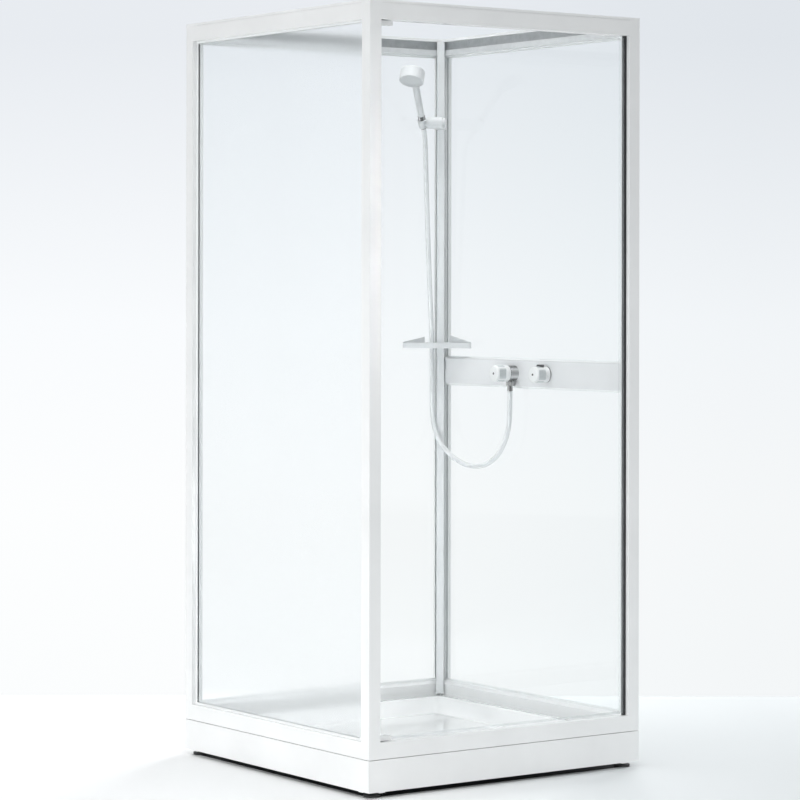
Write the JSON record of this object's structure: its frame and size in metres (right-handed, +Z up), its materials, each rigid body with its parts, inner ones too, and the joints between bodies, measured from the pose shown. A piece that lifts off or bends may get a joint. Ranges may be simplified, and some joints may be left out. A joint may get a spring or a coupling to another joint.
{
  "type": "shower cabin",
  "caption": "Square framed shower cabin with glass walls, a pivot door, a raised tray, a mixer strip and a hand shower on a corner rail.",
  "frame": {"origin": "on the floor, under the middle of the cabin", "axes": "+Z up, -Y out of the door side, +X towards the mixer wall"},
  "size_m": [0.9, 0.9, 2.045],
  "materials": {
    "white_powder_coat": "satin powder coat",
    "white_plastic": "gloss",
    "tray_white": "high gloss",
    "clear_glass": "clear, tempered",
    "frosted_glass": "lightly frosted",
    "dark_rubber": "matt",
    "pale_seal": "translucent",
    "chrome": "polished",
    "steel": "zinc plated",
    "brass": "cast",
    "black_plastic": "matt",
    "grey_plastic": "matt",
    "hose_plastic": "smooth"
  },
  "bodies": {
    "cabin": {"post_front_left": "white_powder_coat", "post_front_right": "white_powder_coat", "post_rear_right": "white_powder_coat", "post_rear_left": "white_powder_coat", "top_rail_front": "white_powder_coat", "top_rail_right": "white_powder_coat", "top_rail_rear": "white_powder_coat", "top_rail_left": "white_powder_coat", "bottom_rail_front": "white_powder_coat", "bottom_rail_right": "white_powder_coat", "bottom_rail_rear": "white_powder_coat", "bottom_rail_left": "white_powder_coat", "top_caps": "white_powder_coat", "hinge_gap_strip": "white_powder_coat", "control_strip": "white_powder_coat", "corner_rail": "white_powder_coat", "post_plugs": "white_plastic", "skirt_clips": "white_plastic", "shower_tray": "tray_white", "rear_pane": "clear_glass", "right_pane_upper": "clear_glass", "right_pane_lower": "clear_glass", "left_pane": "frosted_glass", "post_magnet_strip": "dark_rubber", "left_pane_seal": "pale_seal", "rear_pane_seal": "pale_seal", "right_pane_seals": "pale_seal", "flow_valve": "chrome", "thermostat_ring": "chrome", "hose_nut_lower": "chrome", "base_beams": "steel", "corner_brackets": "steel", "waste_flange": "steel", "mixer_body": "brass", "pivot_bushes": "grey_plastic", "trap_body": "grey_plastic", "hose": "hose_plastic"},
    "door": {"door_pane": "clear_glass", "door_closing_seal": "pale_seal", "door_drip_seal": "pale_seal", "door_pivot_shoe_upper": "chrome", "door_pivot_shoe_lower": "chrome"},
    "flow_knob": {"flow_knob": "white_plastic"},
    "temperature_knob": {"temperature_knob": "white_plastic"},
    "stop_button": {"stop_button": "black_plastic"},
    "slider": {"slider_body": "white_plastic"},
    "slider_knob": {"slider_knob": "white_plastic"},
    "holder": {"handset_holder": "white_plastic"},
    "hand_shower": {"hand_shower": "white_plastic", "spray_face": "grey_plastic", "hose_nut_upper": "chrome"},
    "shelf": {"corner_shelf": "white_plastic"},
    "waste_cover": {"drain_cover": "steel", "trap_insert": "grey_plastic"},
    "foot_1": {"levelling_foot_1": "steel"},
    "foot_2": {"levelling_foot_2": "steel"},
    "foot_3": {"levelling_foot_3": "steel"},
    "foot_4": {"levelling_foot_4": "steel"},
    "front_skirt": {"skirt_front": "white_powder_coat"},
    "left_skirt": {"skirt_left": "white_powder_coat"}
  },
  "joints": [
    {"name": "door_hinge", "type": "hinge", "parent": "cabin", "child": "door", "pos_m": [-0.389, -0.432, 1], "axis": [0, 0, 1], "range_deg": [-100, 0]},
    {"name": "flow_turn", "type": "hinge", "parent": "cabin", "child": "flow_knob", "pos_m": [0.3855, 0.062, 1.063], "axis": [-1, 0, 0], "range_deg": [0, 90]},
    {"name": "temperature_turn", "type": "hinge", "parent": "cabin", "child": "temperature_knob", "pos_m": [0.4095, -0.088, 1.063], "axis": [-1, 0, 0], "range_deg": [-120, 120]},
    {"name": "stop_press", "type": "slide", "parent": "temperature_knob", "child": "stop_button", "axis": [0, 0, -1], "range_m": [0, 0.003], "stiffness_N_per_m": 800},
    {"name": "slider_height", "type": "slide", "parent": "cabin", "child": "slider", "axis": [0, 0, 1], "range_m": [-0.45, 0.15], "deforming": ["hose"]},
    {"name": "slider_clamp", "type": "hinge", "parent": "slider", "child": "slider_knob", "pos_m": [0.35885, 0.35885, 1.793], "axis": [-0.7071, 0.7071, 0], "range_deg": [0, 180]},
    {"name": "holder_tilt", "type": "hinge", "parent": "slider", "child": "holder", "pos_m": [0.35885, 0.35885, 1.793], "axis": [-0.7071, 0.7071, 0], "range_deg": [-20, 30]},
    {"name": "hand_shower_lift", "type": "slide", "parent": "holder", "child": "hand_shower", "axis": [-0.4287, -0.3115, 0.848], "range_m": [0, 0.06]},
    {"name": "shelf_height", "type": "slide", "parent": "cabin", "child": "shelf", "axis": [0, 0, 1], "range_m": [-0.02, 0.1]},
    {"name": "waste_cover_lift", "type": "slide", "parent": "cabin", "child": "waste_cover", "axis": [0, 0, 1], "range_m": [0, 0.06]},
    {"name": "foot_1_turn", "type": "hinge", "parent": "cabin", "child": "foot_1", "pos_m": [-0.417, -0.417, 0.03], "axis": [0, 0, 1], "continuous": true},
    {"name": "foot_2_turn", "type": "hinge", "parent": "cabin", "child": "foot_2", "pos_m": [0.417, -0.417, 0.03], "axis": [0, 0, 1], "continuous": true},
    {"name": "foot_3_turn", "type": "hinge", "parent": "cabin", "child": "foot_3", "pos_m": [0.417, 0.417, 0.03], "axis": [0, 0, 1], "continuous": true},
    {"name": "foot_4_turn", "type": "hinge", "parent": "cabin", "child": "foot_4", "pos_m": [-0.417, 0.417, 0.03], "axis": [0, 0, 1], "continuous": true},
    {"name": "front_skirt_pull", "type": "slide", "parent": "cabin", "child": "front_skirt", "axis": [0, -1, 0], "range_m": [0, 0.08]},
    {"name": "left_skirt_pull", "type": "slide", "parent": "cabin", "child": "left_skirt", "axis": [-1, 0, 0], "range_m": [0, 0.08]}
  ]
}
